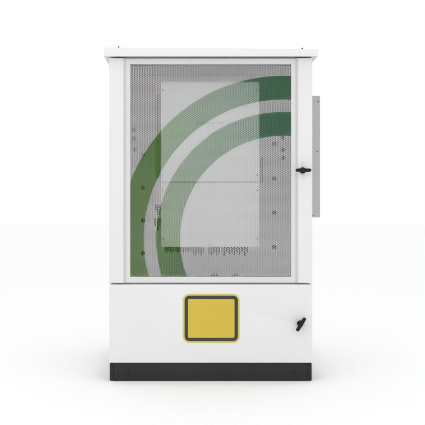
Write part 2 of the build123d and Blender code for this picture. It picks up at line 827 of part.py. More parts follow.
upper_height = upper_door_top - upper_door_bottom
for label, side in (("upper_door_left_stile", -1), ("upper_door_right_stile", 1)):
    with BuildPart() as stile:
        box_x = sorted((side * side_x, side * step_x))
        column(box_x, (front_y, door_back), (upper_door_bottom, upper_door_top), sheet)
        strip_x = sorted((side * step_x, side * sight_x))
        block(strip_x, (step_y, step_y + sheet), (upper_door_bottom, upper_door_top))
        if side < 0:
            for low in (upper_door_bottom, upper_door_top - pivot_block):
                block((-side_x, -side_x + pivot_block), (front_y, door_back), (low, low + pivot_block))
                pivot_bore(low - 1, low + pivot_block + 1)
        else:
            sleeve_hole(upper_handle_x, upper_handle_z)
    save(stile, label)

bar_y = (step_y + sheet, door_back)
for label, low in (
    ("upper_door_top_rail", upper_door_top - rail_height),
    ("upper_door_bottom_rail", upper_door_bottom),
):
    with BuildPart() as bar:
        extrude(tube(Plane.YZ, bar_y, (low, low + rail_height), sheet), amount=step_x, both=True)
        block((-sight_x, sight_x), (step_y, step_y + sheet), (low, low + rail_height))
    save(bar, label)

grille_x = sight_x + grille_overlap
grille_y = step_y + sheet
with BuildPart() as door_grille:
    block((-grille_x, grille_x), (grille_y, grille_y + grille_sheet), (sight_low, sight_high))
    line_step = hole_pitch * cos(radians(30))
    half_columns = int((sight_x - hole_across / 2) / line_step)
    grille_middle = (sight_low + sight_high) / 2
    centres = []
    for line in range(-half_columns, half_columns + 1):
        shift = hole_pitch / 2 if line % 2 else 0
        room = (sight_high - sight_low) / 2 - hole_across / 2 - shift
        half_rows = int(room / hole_pitch)
        for row in range(-half_rows - (1 if shift else 0), half_rows + 1):
            centres.append((line * line_step, grille_middle + row * hole_pitch + shift))
    with BuildSketch(Plane.XZ.offset(-grille_y)):
        with Locations(centres):
            RegularPolygon(hole_across / 2, 6)
    extrude(amount=-grille_sheet, mode=Mode.SUBTRACT)
save(door_grille, "door_grille")

# ---- Lower door: outer skin and inner liner, two trays face to face ----
lower_z = (lower_door_bottom, lower_door_top)
with BuildPart() as lower_door_skin:
    block((-side_x, side_x), (front_y, door_back), lower_z)
    offset(amount=-sheet, openings=lower_door_skin.faces().sort_by(Axis.Y)[-1])
    block(
        (-side_x, -side_x + notch_width),
        (front_y + sheet, door_back),
        (lower_door_bottom, lower_door_bottom + notch_height),
        Mode.SUBTRACT,
    )
    pivot_bore(lower_door_top - pivot_block, lower_door_top + 1)
    sleeve_hole(lower_handle_x, lower_handle_z)
save(lower_door_skin, "lower_door_skin")

with BuildPart() as lower_door_liner:
    liner_x = side_x - sheet
    liner_y = (front_y + sheet, door_back)
    liner_z = (lower_door_bottom + sheet, lower_door_top - sheet)
    block((-liner_x, liner_x), liner_y, liner_z)
    offset(amount=-liner_sheet, openings=lower_door_liner.faces().sort_by(Axis.Y)[0])
    for low in (liner_z[0], liner_z[1] - pivot_block):
        block((-liner_x, -liner_x + pivot_block), liner_y, (low, low + pivot_block))
    block(
        (-side_x, -side_x + notch_width),
        liner_y,
        (lower_door_bottom, lower_door_bottom + notch_height),
        Mode.SUBTRACT,
    )
    pivot_bore(liner_z[0] - 1, liner_z[0] + pivot_block + 1)
    pivot_bore(liner_z[1] - pivot_block - 1, liner_z[1] + 1)
    sleeve_hole(lower_handle_x, lower_handle_z)
save(lower_door_liner, "lower_door_liner")


# ---- Turning handles: rose with sleeve, handle with shaft, latch cam ----
def handle_set(name, x, z, turn):
    """One handle. turn is how far the bar stands turned from level, anticlockwise from the front."""
    rose_face = front_y - rose_depth
    sleeve_end = door_back + 2
    across, up = cos(radians(turn)), sin(radians(turn))
    with BuildPart() as base:
        rod("y", (x, z), rose_radius, rose_face, front_y)
        rod("y", (x, z), sleeve_radius, front_y, sleeve_end)
        rod("y", (x, z), shaft_radius + shaft_clearance, rose_face - 1, sleeve_end + 1, Mode.SUBTRACT)
    save(base, name + "_handle_base")

    bar_back = front_y - handle_reach
    with BuildPart() as handle:
        with BuildSketch(Plane((x, bar_back, z), x_dir=(across, 0, up), z_dir=(0, -1, 0))):
            Circle(bar_height / 2)
            bar_end = (bar_length - bar_end_height) / 2
            with Locations((-bar_end, 0), (bar_end, 0)):
                Circle(bar_end_height / 2)
            make_hull()
        extrude(amount=bar_depth)
        chamfer(handle.faces().sort_by(Axis.Y)[0].edges(), bar_bevel)
        rod("y", (x, z), handle_neck, bar_back, rose_face - 0.5)
        rod("y", (x, z), shaft_radius, rose_face - 0.5, cam_y)
    save(handle, name + "_handle")

    with BuildPart() as cam:
        with BuildSketch(Plane((x, cam_y, z), x_dir=(up, 0, -across), z_dir=(0, 1, 0))):
            Circle(shaft_radius + 3)
            with Locations((cam_reach - cam_width / 2, 0)):
                Circle(cam_width / 2)
            make_hull()
        extrude(amount=cam_depth)
    save(cam, name + "_cam")


handle_set("upper", upper_handle_x, upper_handle_z, 0)
handle_set("lower", lower_handle_x, lower_handle_z, lower_handle_turn)
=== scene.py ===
import bpy
import bmesh
import json
import math
from itertools import product
from mathutils import Matrix, Vector


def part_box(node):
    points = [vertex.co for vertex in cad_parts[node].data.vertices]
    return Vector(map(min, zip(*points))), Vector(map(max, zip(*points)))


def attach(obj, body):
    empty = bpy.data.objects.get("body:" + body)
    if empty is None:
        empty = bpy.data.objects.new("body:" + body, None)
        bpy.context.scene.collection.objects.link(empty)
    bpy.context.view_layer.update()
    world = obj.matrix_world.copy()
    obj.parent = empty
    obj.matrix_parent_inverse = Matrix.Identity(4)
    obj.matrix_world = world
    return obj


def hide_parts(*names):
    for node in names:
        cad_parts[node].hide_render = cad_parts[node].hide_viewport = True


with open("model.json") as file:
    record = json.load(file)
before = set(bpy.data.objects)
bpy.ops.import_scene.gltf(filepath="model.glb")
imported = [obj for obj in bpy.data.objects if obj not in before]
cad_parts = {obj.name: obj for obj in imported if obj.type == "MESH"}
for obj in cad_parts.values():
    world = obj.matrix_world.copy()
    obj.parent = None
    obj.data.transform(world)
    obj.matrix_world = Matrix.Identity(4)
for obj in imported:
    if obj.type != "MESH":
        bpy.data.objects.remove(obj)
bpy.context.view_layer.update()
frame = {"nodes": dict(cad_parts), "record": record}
nodes = frame["nodes"]
scene = bpy.context.scene
bodyOf = {name: body for body, names in frame["record"]["behaviour"]["bodies"].items() for name in names}
slots = {row["node"]: row["material_slot"] for row in frame["record"]["subparts"]}
print("frame loaded:", len(nodes), "CAD pieces")

# camera level with the middle of the cabinet, a little to its left; widthShown is at the doors
view = {
    "distance": 5.5,
    "widthShown": 2.9295,
    "left": -0.171,
    "height": 1.180,
    "shift": (0.0624, -0.0059),
}
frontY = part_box("lower_door_skin")[0].y
cameraData = bpy.data.cameras.new("camera")
cameraData.lens = cameraData.sensor_width * view["distance"] / view["widthShown"]
cameraData.shift_x, cameraData.shift_y = view["shift"]
camera = bpy.data.objects.new("camera", cameraData)
camera.location = (view["left"], frontY - view["distance"], view["height"])
camera.rotation_euler = (math.radians(90), 0, 0)
scene.collection.objects.link(camera)
scene.camera = camera
scene.view_settings.view_transform = "Standard"

# white room with three soft lamps
studio = {
    "worldStrength": 1.0,
    "key": ((-2.6, -4.6, 3.8), 3.0, 14),
    "fill": ((3.2, -4.6, 2.6), 3.0, 8),
    "top": ((0.0, -0.8, 5.4), 3.5, 16),
    "floorTone": 0.97,
}
world = bpy.data.worlds.new("studio")
world.use_nodes = True
world.node_tree.nodes["Background"].inputs["Color"].default_value = (1, 1, 1, 1)
world.node_tree.nodes["Background"].inputs["Strength"].default_value = studio["worldStrength"]
scene.world = world


def addLamp(name, aim):
    spot, size, power = studio[name]
    lampData = bpy.data.lights.new(name, "AREA")
    lampData.shape = "DISK"
    lampData.size = size
    lampData.energy = power
    lamp = bpy.data.objects.new(name, lampData)
    lamp.location = spot
    lamp.rotation_euler = (Vector(aim) - Vector(spot)).to_track_quat("-Z", "Y").to_euler()
    scene.collection.objects.link(lamp)


for lampName in ("key", "fill", "top"):
    addLamp(lampName, (0, 0, 1.2))
print("camera and light set")


# materials: each one reads object coordinates, in metres
def newMaterial(name, colour, roughness, metallic=0.0, specular=0.5):
    material = bpy.data.materials.new(name)
    material.use_nodes = True
    shader = material.node_tree.nodes["Principled BSDF"]
    shader.inputs["Base Color"].default_value = (*colour, 1)
    shader.inputs["Roughness"].default_value = roughness
    shader.inputs["Metallic"].default_value = metallic
    shader.inputs["Specular IOR Level"].default_value = specular
    return material, shader


def addNode(material, kind, **values):
    node = material.node_tree.nodes.new(kind)
    for name, value in values.items():
        if name in node.inputs:
            node.inputs[name].default_value = value
        else:
            setattr(node, name, value)
    return node


def link(material, source, target):
    material.node_tree.links.new(source, target)


def noiseOf(material, scale, detail=3.0):
    coordinates = addNode(material, "ShaderNodeTexCoord")
    noise = addNode(material, "ShaderNodeTexNoise", Scale=scale, Detail=detail)
    link(material, coordinates.outputs["Object"], noise.inputs["Vector"])
    return noise.outputs["Fac"]


def splitOf(material, output):
    # X, Y and Z of a texture coordinate, taken apart
    coordinates = addNode(material, "ShaderNodeTexCoord")
    parts = addNode(material, "ShaderNodeSeparateXYZ")
    link(material, coordinates.outputs[output], parts.inputs[0])
    return parts.outputs


def rangeOf(material, source, low, high, start=0.35, end=0.65):
    spread = addNode(material, "ShaderNodeMapRange")
    for name, value in (("From Min", start), ("From Max", end), ("To Min", low), ("To Max", high)):
        spread.inputs[name].default_value = value
    link(material, source, spread.inputs["Value"])
    return spread.outputs["Result"]


def addBump(material, shader, heights, distance, strength=0.5):
    bump = addNode(material, "ShaderNodeBump", Strength=strength, Distance=distance)
    link(material, heights, bump.inputs["Height"])
    link(material, bump.outputs["Normal"], shader.inputs["Normal"])


def blendColours(material, factor, first, second):
    mix = addNode(material, "ShaderNodeMix", data_type="RGBA")
    for socket, colour in ((mix.inputs[6], first), (mix.inputs[7], second)):
        if isinstance(colour, tuple):
            socket.default_value = (*colour, 1)
        else:
            link(material, colour, socket)
    link(material, factor, mix.inputs[0])
    return mix.outputs[2]


# noise of a coat as scale and detail: wide clouds in its tone and fine grain in its surface
coat = {"cloud": (1.6, 4.0), "grain": (900, 2.0)}


def powderCoat(name, colour, shade=0.975, roughness=0.42, specular=0.4):
    material, shader = newMaterial(name, colour, roughness, 0.0, specular)
    cloud = noiseOf(material, *coat["cloud"])
    darker = tuple(part * shade for part in colour)
    tone = blendColours(material, rangeOf(material, cloud, 0, 1), colour, darker)
    link(material, tone, shader.inputs["Base Color"])
    grain = noiseOf(material, *coat["grain"])
    gloss = rangeOf(material, grain, roughness - 0.06, roughness + 0.08)
    link(material, gloss, shader.inputs["Roughness"])
    addBump(material, shader, grain, 0.00012, 0.35)
    return material


def heightShadedCoat(name, low, high, levels):
    # powder coat carrying painted shade: its tone changes with height, between two levels
    material = powderCoat(name, low)
    shader = next(node for node in material.node_tree.nodes if node.type == "BSDF_PRINCIPLED")
    height = splitOf(material, "Object")["Z"]
    tone = blendColours(material, rangeOf(material, height, 0, 1, *levels), low, high)
    link(material, tone, shader.inputs["Base Color"])
    return material


def zincPlate(name, colour, roughness=0.3, spangleScale=160.0):
    material, shader = newMaterial(name, colour, roughness, 1.0)
    coordinates = addNode(material, "ShaderNodeTexCoord")
    spangle = addNode(material, "ShaderNodeTexVoronoi", Scale=spangleScale)
    link(material, coordinates.outputs["Object"], spangle.inputs["Vector"])
    distance = spangle.outputs["Distance"]
    gloss = rangeOf(material, distance, roughness - 0.06, roughness + 0.14, 0, 1)
    link(material, gloss, shader.inputs["Roughness"])
    tone = blendColours(material, distance, colour, tuple(part * 0.78 for part in colour))
    link(material, tone, shader.inputs["Base Color"])
    return material


def mouldedPlastic(name, colour, roughness=0.5, grainScale=700, specular=0.3):
    material, shader = newMaterial(name, colour, roughness, 0.0, specular)
    grain = noiseOf(material, grainScale, 3.0)
    gloss = rangeOf(material, grain, roughness - 0.08, roughness + 0.1)
    link(material, gloss, shader.inputs["Roughness"])
    paler = tuple(part * 1.35 for part in colour)
    tone = blendColours(material, noiseOf(material, 14.0, 2.0), colour, paler)
    link(material, tone, shader.inputs["Base Color"])
    addBump(material, shader, grain, 0.0001, 0.3)
    return material


finishes = {
    "white_paint": powderCoat("whitePaint", (0.80, 0.80, 0.80)),
    "roof_paint": powderCoat("roofPaint", (0.83, 0.83, 0.83)),
    "plinth_paint": powderCoat("plinthPaint", (0.024, 0.024, 0.025), 0.8, 0.62, 0.3),
    "hood_grey": powderCoat("hoodGrey", (0.45, 0.455, 0.465)),
    "unit_grey": powderCoat("unitGrey", (0.57, 0.575, 0.58)),
    "zinc": zincPlate("zincPlate", (0.56, 0.57, 0.58)),
    "galvanised": zincPlate("galvanisedSheet", (0.62, 0.64, 0.65), 0.4, 90.0),
    "handle_black": mouldedPlastic("handleBlack", (0.012, 0.012, 0.0125), 0.55, 600, 0.2),
    "fitting_black": mouldedPlastic("fittingBlack", (0.016, 0.016, 0.017), 0.5, 700, 0.25),
    "seal_rubber": mouldedPlastic("sealRubber", (0.02, 0.02, 0.02), 0.85, 300),
    "breaker_plastic": mouldedPlastic("breakerPlastic", (0.07, 0.07, 0.075)),
    "fan_black": mouldedPlastic("fanBlack", (0.03, 0.03, 0.03)),
    "strip_grey": mouldedPlastic("stripWindow", (0.05, 0.055, 0.06), 0.2, 500, 0.5),
    "pack_case": mouldedPlastic("packCase", (0.12, 0.125, 0.13)),
}
finishes["grille_paint"] = finishes["white_paint"]
# painted shade: the white-painted bulkhead and ceiling are coloured grey, darker towards the top
bulkheadPaint = heightShadedCoat("bulkheadPaint", (0.52, 0.52, 0.524), (0.33, 0.33, 0.333), (0.95, 1.75))
# painted shade: the downward faces of the white canopy are coloured grey
soffitPaint = powderCoat("soffitPaint", (0.62, 0.62, 0.62))
blackSteel = zincPlate("blackSteel", (0.05, 0.05, 0.052), 0.5)
# painted shade: the set-back facings round the sheet are white sheet coloured darker, as shade in the
# recess
recessPaint = powderCoat("recessPaint", (0.71, 0.71, 0.71))
darkSteel = zincPlate("darkSteel", (0.16, 0.16, 0.165), 0.45)
for nodeName, node in nodes.items():
    node.data.materials.clear()
    node.data.materials.append(finishes[slots[nodeName]])
print("finishes set on the CAD pieces")

# floor of the studio
floorMaterial = newMaterial("studioFloor", (studio["floorTone"],) * 3, 0.8, 0.0, 0.1)[0]
floorMesh = bmesh.new()
bmesh.ops.create_grid(floorMesh, x_segments=1, y_segments=1, size=60)
floorData = bpy.data.meshes.new("floor")
floorMesh.to_mesh(floorData)
floorMesh.free()
floorObject = bpy.data.objects.new("floor", floorData)
floorData.materials.append(floorMaterial)
scene.collection.objects.link(floorObject)


# shapes: boxes, turned parts, prisms and raised outlines, then copies set in place and pieces
def addBox(mesh, low, high, rounding=0.0, segments=2):
    made = bmesh.ops.create_cube(mesh, size=1)["verts"]
    bmesh.ops.scale(mesh, verts=made, vec=Vector(high) - Vector(low))
    bmesh.ops.translate(mesh, verts=made, vec=(Vector(high) + Vector(low)) / 2)
    if rounding:
        edges = list({edge for vert in made for edge in vert.link_edges})
        roundEdges(mesh, edges, rounding, segments)


def roundEdges(mesh, edges, width, segments=2):
    return bmesh.ops.bevel(
        mesh, geom=edges, offset=width, offset_type="OFFSET", segments=segments, profile=0.5,
        affect="EDGES", clamp_overlap=True, material=-1,
    )


def sharpEdges(mesh, degrees=35):
    limit = math.radians(degrees)
    return [edge for edge in mesh.edges if len(edge.link_faces) == 2 and edge.calc_face_angle(0) > limit]


def turned(profile, steps=32):
    # a part turned about Z from its outline, given as radius and height
    mesh = bmesh.new()
    corners = [mesh.verts.new((radius, 0, height)) for radius, height in profile]
    for first, second in zip(corners, corners[1:]):
        mesh.edges.new((first, second))
    bmesh.ops.spin(
        mesh, geom=mesh.verts[:] + mesh.edges[:], cent=(0, 0, 0), axis=(0, 0, 1),
        angle=math.tau, steps=steps, use_merge=True, use_duplicate=False,
    )
    bmesh.ops.remove_doubles(mesh, verts=mesh.verts[:], dist=1e-6)
    bmesh.ops.recalc_face_normals(mesh, faces=mesh.faces[:])
    return keep(mesh)


def wireRing(radius, wire, around, steps):
    angles = [math.tau * step / around for step in range(around + 1)]
    circle = [(radius + wire * math.cos(angle), wire * math.sin(angle)) for angle in angles]
    return turned(circle, steps)


def prismOf(sides, radius, height, rounding):
    mesh = bmesh.new()
    bmesh.ops.create_cone(
        mesh, cap_ends=True, segments=sides, radius1=radius, radius2=radius, depth=height,
    )
    bmesh.ops.translate(mesh, verts=mesh.verts[:], vec=(0, 0, height / 2))
    top = [edge for edge in mesh.edges if all(vert.co.z > height * 0.9 for vert in edge.verts)]
    roundEdges(mesh, top, rounding, 2)
    return keep(mesh)


def pointsOf(geometry):
    return [part for part in geometry if isinstance(part, bmesh.types.BMVert)]


def raisedFace(mesh, corners, height):
    face = mesh.faces.new([mesh.verts.new(corner) for corner in corners])
    raised = bmesh.ops.extrude_face_region(mesh, geom=[face])["geom"]
    bmesh.ops.translate(mesh, verts=pointsOf(raised), vec=height)
    bmesh.ops.recalc_face_normals(mesh, faces=mesh.faces[:])


def keep(mesh):
    data = bpy.data.meshes.new("stock")
    mesh.to_mesh(data)
    mesh.free()
    return data


def stamp(mesh, data, matrix):
    # a copy of a stored shape, set in its place
    placed = data.copy()
    placed.transform(matrix)
    mesh.from_mesh(placed)
    bpy.data.meshes.remove(placed)


facing = {
    "up": Matrix.Identity(4),
    "down": Matrix.Rotation(math.pi, 4, "X"),
    "front": Matrix.Rotation(math.pi / 2, 4, "X"),
    "back": Matrix.Rotation(-math.pi / 2, 4, "X"),
    "right": Matrix.Rotation(math.pi / 2, 4, "Y"),
}


def at(spot, way="up", turn=0.0):
    return Matrix.Translation(spot) @ facing[way] @ Matrix.Rotation(turn, 4, "Z")


def addPiece(name, mesh, material, body, replaced=(), smooth=40):
    data = bpy.data.meshes.new(name)
    mesh.to_mesh(data)
    mesh.free()
    for part in material if isinstance(material, tuple) else (material,):
        data.materials.append(part)
    if smooth:
        data.shade_smooth()
        data.set_sharp_from_angle(angle=math.radians(smooth))
    piece = bpy.data.objects.new(name, data)
    scene.collection.objects.link(piece)
    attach(piece, body)
    if replaced:
        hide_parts(*replaced)
    return piece


# CAD pieces with their edges eased: bent sheet, then thicker covers, cases, cams and packs
eased = {
    "sheetEdge": 0.0008,
    "thickEdge": 0.0015,
    "sheet": [
        "post_front_left", "post_front_right", "post_rear_left", "post_rear_right",
        "left_side_panel", "upper_door_left_stile", "upper_door_right_stile",
        "upper_door_top_rail", "upper_door_bottom_rail", "lower_door_skin", "lower_door_liner",
        "roof_canopy", "rear_panels", "bulkhead", "plinth_front_rail", "plinth_rear_rail",
        "unit_body", "equipment_plate",
    ],
    "thick": [
        "unit_wiring_cover", "unit_upper_cover", "control_box", "breaker_body", "breaker_toggle",
        "upper_cam", "lower_cam", "latch_keepers", "battery_stack_left", "battery_stack_right",
    ],
}


def easedCopy(nodeName, width):
    mesh = bmesh.new()
    mesh.from_mesh(nodes[nodeName].data)
    bmesh.ops.remove_doubles(mesh, verts=mesh.verts[:], dist=2e-5)
    bmesh.ops.dissolve_limit(
        mesh, angle_limit=math.radians(0.5), use_dissolve_boundaries=False,
        verts=mesh.verts[:], edges=mesh.edges[:], delimit={"NORMAL"},
    )
    roundEdges(mesh, sharpEdges(mesh), width, 2)
    pieceName = "".join(word.capitalize() for word in nodeName.split("_")) + "Eased"
    slotName = slots[nodeName]
    return addPiece(pieceName, mesh, finishes[slotName], bodyOf[nodeName], (nodeName,), 30)


easedPieces = {}
for group, width in (("sheet", eased["sheetEdge"]), ("thick", eased["thickEdge"])):
    for nodeName in eased[group]:
        easedPieces[nodeName] = easedCopy(nodeName, width)
# the bulkhead and ceiling take the grey painted shade
easedPieces["bulkhead"].data.materials[0] = bulkheadPaint
nodes["ceiling_panel"].data.materials[0] = bulkheadPaint
# canopy faces that look down get the grey painted shade
canopyData = easedPieces["roof_canopy"].data
canopyData.materials.append(soffitPaint)
for polygon in canopyData.polygons:
    if polygon.normal.z < -0.3:
        polygon.material_index = 1
print("sheet edges eased")

# perforated sheet of the upper door, in three bands of the same width
grille = {
    "pitch": 0.0131,
    "openAcross": 0.0101,
    "thickness": 0.0015,
    "bands": 3,
    "overlap": 0.012,
    "margin": {"in": 0.002, "tall": 0.006},
    "tone": 0.79,
}
columnStep = grille["pitch"] * math.cos(math.pi / 6)
grilleLow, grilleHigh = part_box("door_grille")
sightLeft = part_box("upper_door_left_stile")[1].x
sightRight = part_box("upper_door_right_stile")[0].x
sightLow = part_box("upper_door_bottom_rail")[1].z
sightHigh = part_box("upper_door_top_rail")[0].z

# two quarter rings swept over the sheet, olive on the left and deeper green on the right
sweep = {
    "middle": (0.50, 0.98),
    "outer": (1.045, 0.082),
    "inner": (0.795, 0.082),
    "olive": (0.105, 0.285, 0.015),
    "deep": (0.012, 0.190, 0.058),
    "change": (-0.42, 0.16),
}


def sweptPrint(material, shader, plain):
    parts = splitOf(material, "Object")
    flat = addNode(material, "ShaderNodeCombineXYZ")
    link(material, parts["X"], flat.inputs["X"])
    link(material, parts["Z"], flat.inputs["Z"])
    reach = addNode(material, "ShaderNodeVectorMath", operation="DISTANCE")
    reach.inputs[1].default_value = (sweep["middle"][0], 0, sweep["middle"][1])
    link(material, flat.outputs[0], reach.inputs[0])
    rings = []
    for radius, half in (sweep["outer"], sweep["inner"]):
        ring = addNode(material, "ShaderNodeMath", operation="COMPARE")
        ring.inputs[1].default_value = radius
        ring.inputs[2].default_value = half
        link(material, reach.outputs["Value"], ring.inputs[0])
        rings.append(ring)
    either = addNode(material, "ShaderNodeMath", operation="ADD", use_clamp=True)
    for index, ring in enumerate(rings):
        link(material, ring.outputs[0], either.inputs[index])
    # only the side that faces forward is printed
    outside = addNode(material, "ShaderNodeMath", operation="LESS_THAN")
    outside.inputs[1].default_value = -0.5
    link(material, splitOf(material, "Normal")["Y"], outside.inputs[0])
    printed = addNode(material, "ShaderNodeMath", operation="MULTIPLY")
    link(material, either.outputs[0], printed.inputs[0])
    link(material, outside.outputs[0], printed.inputs[1])
    across = rangeOf(material, parts["X"], 0, 1, *sweep["change"])
    green = blendColours(material, across, sweep["olive"], sweep["deep"])
    tone = blendColours(material, printed.outputs[0], plain, green)
    link(material, tone, shader.inputs["Base Color"])


def printedSheetCoat():
    colour = (grille["tone"],) * 3
    material, shader = newMaterial("printedSheet", colour, 0.45, 0.0, 0.35)
    cloud = rangeOf(material, noiseOf(material, *coat["cloud"]), 0, 1)
    plain = blendColours(material, cloud, colour, tuple(part * 0.97 for part in colour))
    sweptPrint(material, shader, plain)
    grain = noiseOf(material, *coat["grain"])
    link(material, rangeOf(material, grain, 0.4, 0.52), shader.inputs["Roughness"])
    addBump(material, shader, grain, 0.0001, 0.3)
    return material


printedSheet = printedSheetCoat()


def copiedAlong(mesh, geometry, offset):
    copy = bmesh.ops.duplicate(mesh, geom=geometry)["geom"]
    bmesh.ops.translate(mesh, verts=pointsOf(copy), vec=offset)


def perforatedBand(left, columns):
    # one hexagonal cell is copied up into a column, and the column across, each second one lower
    pitch = grille["pitch"]
    rows = math.floor((grilleHigh.z - grilleLow.z) / pitch) - 1
    mesh = bmesh.new()
    cellRadius = pitch / 2 / math.cos(math.pi / 6)
    bmesh.ops.create_circle(mesh, cap_ends=True, segments=6, radius=cellRadius)
    bmesh.ops.inset_individual(mesh, faces=mesh.faces[:], thickness=(pitch - grille["openAcross"]) / 2)
    hole = [face for face in mesh.faces if len(face.verts) == 6]
    bmesh.ops.delete(mesh, geom=hole, context="FACES_ONLY")
    bmesh.ops.rotate(mesh, verts=mesh.verts[:], matrix=Matrix.Rotation(math.radians(30), 3, "Z"))
    bmesh.ops.rotate(mesh, verts=mesh.verts[:], matrix=Matrix.Rotation(math.radians(90), 3, "X"))
    cell = mesh.verts[:] + mesh.edges[:] + mesh.faces[:]
    start = (grilleLow.z + grilleHigh.z - (rows - 1) * pitch) / 2
    bmesh.ops.translate(mesh, verts=mesh.verts[:], vec=(left + columnStep / 2, grilleLow.y, start))
    for row in range(1, rows):
        copiedAlong(mesh, cell, (0, 0, row * pitch))
    bmesh.ops.remove_doubles(mesh, verts=mesh.verts[:], dist=pitch / 50)
    column = mesh.verts[:] + mesh.edges[:] + mesh.faces[:]
    for index in range(1, columns):
        copiedAlong(mesh, column, (index * columnStep, 0, -pitch / 2 if index % 2 else 0))
    bmesh.ops.remove_doubles(mesh, verts=mesh.verts[:], dist=pitch / 50)
    bmesh.ops.solidify(mesh, geom=mesh.faces[:], thickness=-grille["thickness"])
    bmesh.ops.recalc_face_normals(mesh, faces=mesh.faces[:])
    return mesh


columnsWanted = (sightRight - sightLeft + grille["overlap"]) / columnStep
columnsPerBand = 2 * math.ceil(columnsWanted / grille["bands"] / 2)
for band in range(grille["bands"]):
    left = (band - grille["bands"] / 2) * columnsPerBand * columnStep
    bandMesh = perforatedBand(left, columnsPerBand)
    bandName = "perforatedSheet" + str(band + 1)
    addPiece(bandName, bandMesh, printedSheet, "upper_door", ("door_grille",), 0)


def ring(mesh, outerLow, outerHigh, innerLow, innerHigh):
    # four bars round an upright opening, from the corners of its outside and of the opening
    for low, high in (
        ((outerLow[0], outerLow[1], outerLow[2]), (innerLow[0], outerHigh[1], outerHigh[2])),
        ((innerHigh[0], outerLow[1], outerLow[2]), (outerHigh[0], outerHigh[1], outerHigh[2])),
        ((innerLow[0], outerLow[1], innerHigh[2]), (innerHigh[0], outerHigh[1], outerHigh[2])),
        ((innerLow[0], outerLow[1], outerLow[2]), (innerHigh[0], outerHigh[1], innerLow[2])),
    ):
        addBox(mesh, low, high)


# plain edge of the sheet, behind the set-back frame
marginMesh = bmesh.new()
marginIn, marginTall = grille["margin"]["in"], grille["margin"]["tall"]
ring(
    marginMesh,
    (grilleLow.x, grilleLow.y, sightLow - marginTall),
    (grilleHigh.x, grilleHigh.y, sightHigh + marginTall),
    (sightLeft - marginIn, grilleLow.y, sightLow - marginIn),
    (sightRight + marginIn, grilleHigh.y, sightHigh + marginIn),
)
addPiece("sheetMargin", marginMesh, printedSheet, "upper_door", (), 0)
print("perforated sheet made")

# set-back frame round the sheet: sloping folds at the sides and flat facings, both coloured darker than
# the door as painted shade of the recess
sightFrame = {"foldWidth": 0.018, "facing": 0.0007, "fromFront": 0.0012, "lip": 0.0002, "endGap": 0.0005}
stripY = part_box("upper_door_top_rail")[0].y
doorLow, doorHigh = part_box("upper_door_left_stile")
facingY = stripY - sightFrame["facing"]
frameBottom, frameTop = doorLow.z + sightFrame["endGap"], doorHigh.z - sightFrame["endGap"]
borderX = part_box("upper_door_top_rail")[1].x


def slopingFold(side):
    mesh = bmesh.new()
    outer, inner = side * borderX, side * (borderX - sightFrame["foldWidth"])
    outline = (
        (outer, doorLow.y + sightFrame["fromFront"]), (inner, facingY - sightFrame["lip"]),
        (inner, stripY), (outer, stripY),
    )
    raisedFace(mesh, [(x, y, frameBottom) for x, y in outline], (0, 0, frameTop - frameBottom))
    return mesh


# painted shade on the sloping folds: white sheet coloured darker grey
foldPaint = powderCoat("foldPaint", (0.59, 0.59, 0.59))
for side, sideName in ((-1, "Left"), (1, "Right")):
    addPiece("doorFold" + sideName, slopingFold(side), foldPaint, "upper_door", (), 0)
facingMesh = bmesh.new()
facingX = borderX - sightFrame["foldWidth"]
ring(
    facingMesh,
    (-facingX, facingY, frameBottom), (facingX, stripY, frameTop),
    (sightLeft, facingY, sightLow), (sightRight, stripY, sightHigh),
)
addPiece("sightFacing", facingMesh, recessPaint, "upper_door", (), 0)
print("set-back frame made")

# blank enamel plate on the lower door
plate = {
    "x": (-0.193, 0.199),
    "z": (0.264, 0.602),
    "corner": 0.045,
    "thick": 0.0012,
    "rim": 0.012,
    "band": 0.024,
}
enamel = powderCoat("amberEnamel", (0.65, 0.48, 0.045), 0.96, 0.34, 0.5)
enamelRim = powderCoat("paleAmberRim", (0.62, 0.54, 0.13), 0.96, 0.34, 0.5)
enamelBand = mouldedPlastic("darkEnamelBand", (0.026, 0.026, 0.018), 0.35, 500, 0.5)


def platePiece():
    mesh = bmesh.new()
    low = (plate["x"][0], frontY - plate["thick"], plate["z"][0])
    high = (plate["x"][1], frontY, plate["z"][1])
    addBox(mesh, low, high)
    mesh.normal_update()
    corners = [edge for edge in mesh.edges if all(abs(face.normal.y) < 0.5 for face in edge.link_faces)]
    roundEdges(mesh, corners, plate["corner"], 10)
    face = min(mesh.faces, key=lambda candidate: candidate.calc_center_median().y)
    for width, index in ((plate["rim"], 0), (plate["band"], 1)):
        bmesh.ops.inset_region(mesh, faces=[face], thickness=width, use_even_offset=True)
        for edge in face.edges:
            for other in edge.link_faces:
                if other is not face:
                    other.material_index = index
    face.material_index = 2
    return mesh


addPiece("blankPlate", platePiece(), (enamelRim, enamelBand, enamel), "lower_door")
print("blank plate made")

# turning handles: rose, tapered bar and the neck between them; no shaft reaches the cam
handle = {
    "rose": (
        (0.0, 0.0), (0.022, 0.0), (0.022, 0.0052), (0.0206, 0.0074), (0.015, 0.008), (0.0, 0.008),
    ),
    "bar": {"reach": 0.0425, "end": 0.0115, "middle": 0.013, "thick": 0.014, "bevel": 0.0034},
    "neck": {"radius": 0.010, "start": 0.0078, "sunk": 0.001},
    "turn": {"upper": 0.0, "lower": 58.0},
}


def barOutline():
    # three circles in a row wrapped in one outline, widest in the middle
    bar = handle["bar"]
    tangent = math.acos((bar["middle"] - bar["end"]) / bar["reach"])
    arcs = (
        (bar["reach"], bar["end"], -tangent, tangent),
        (0.0, bar["middle"], tangent, math.pi - tangent),
        (-bar["reach"], bar["end"], math.pi - tangent, math.pi + tangent),
        (0.0, bar["middle"], math.pi + tangent, math.tau - tangent),
    )
    corners = []
    for along, radius, first, last in arcs:
        steps = max(2, round((last - first) * radius / 0.0024))
        for step in range(steps + 1):
            angle = first + (last - first) * step / steps
            corners.append((along + radius * math.cos(angle), radius * math.sin(angle)))
    return corners


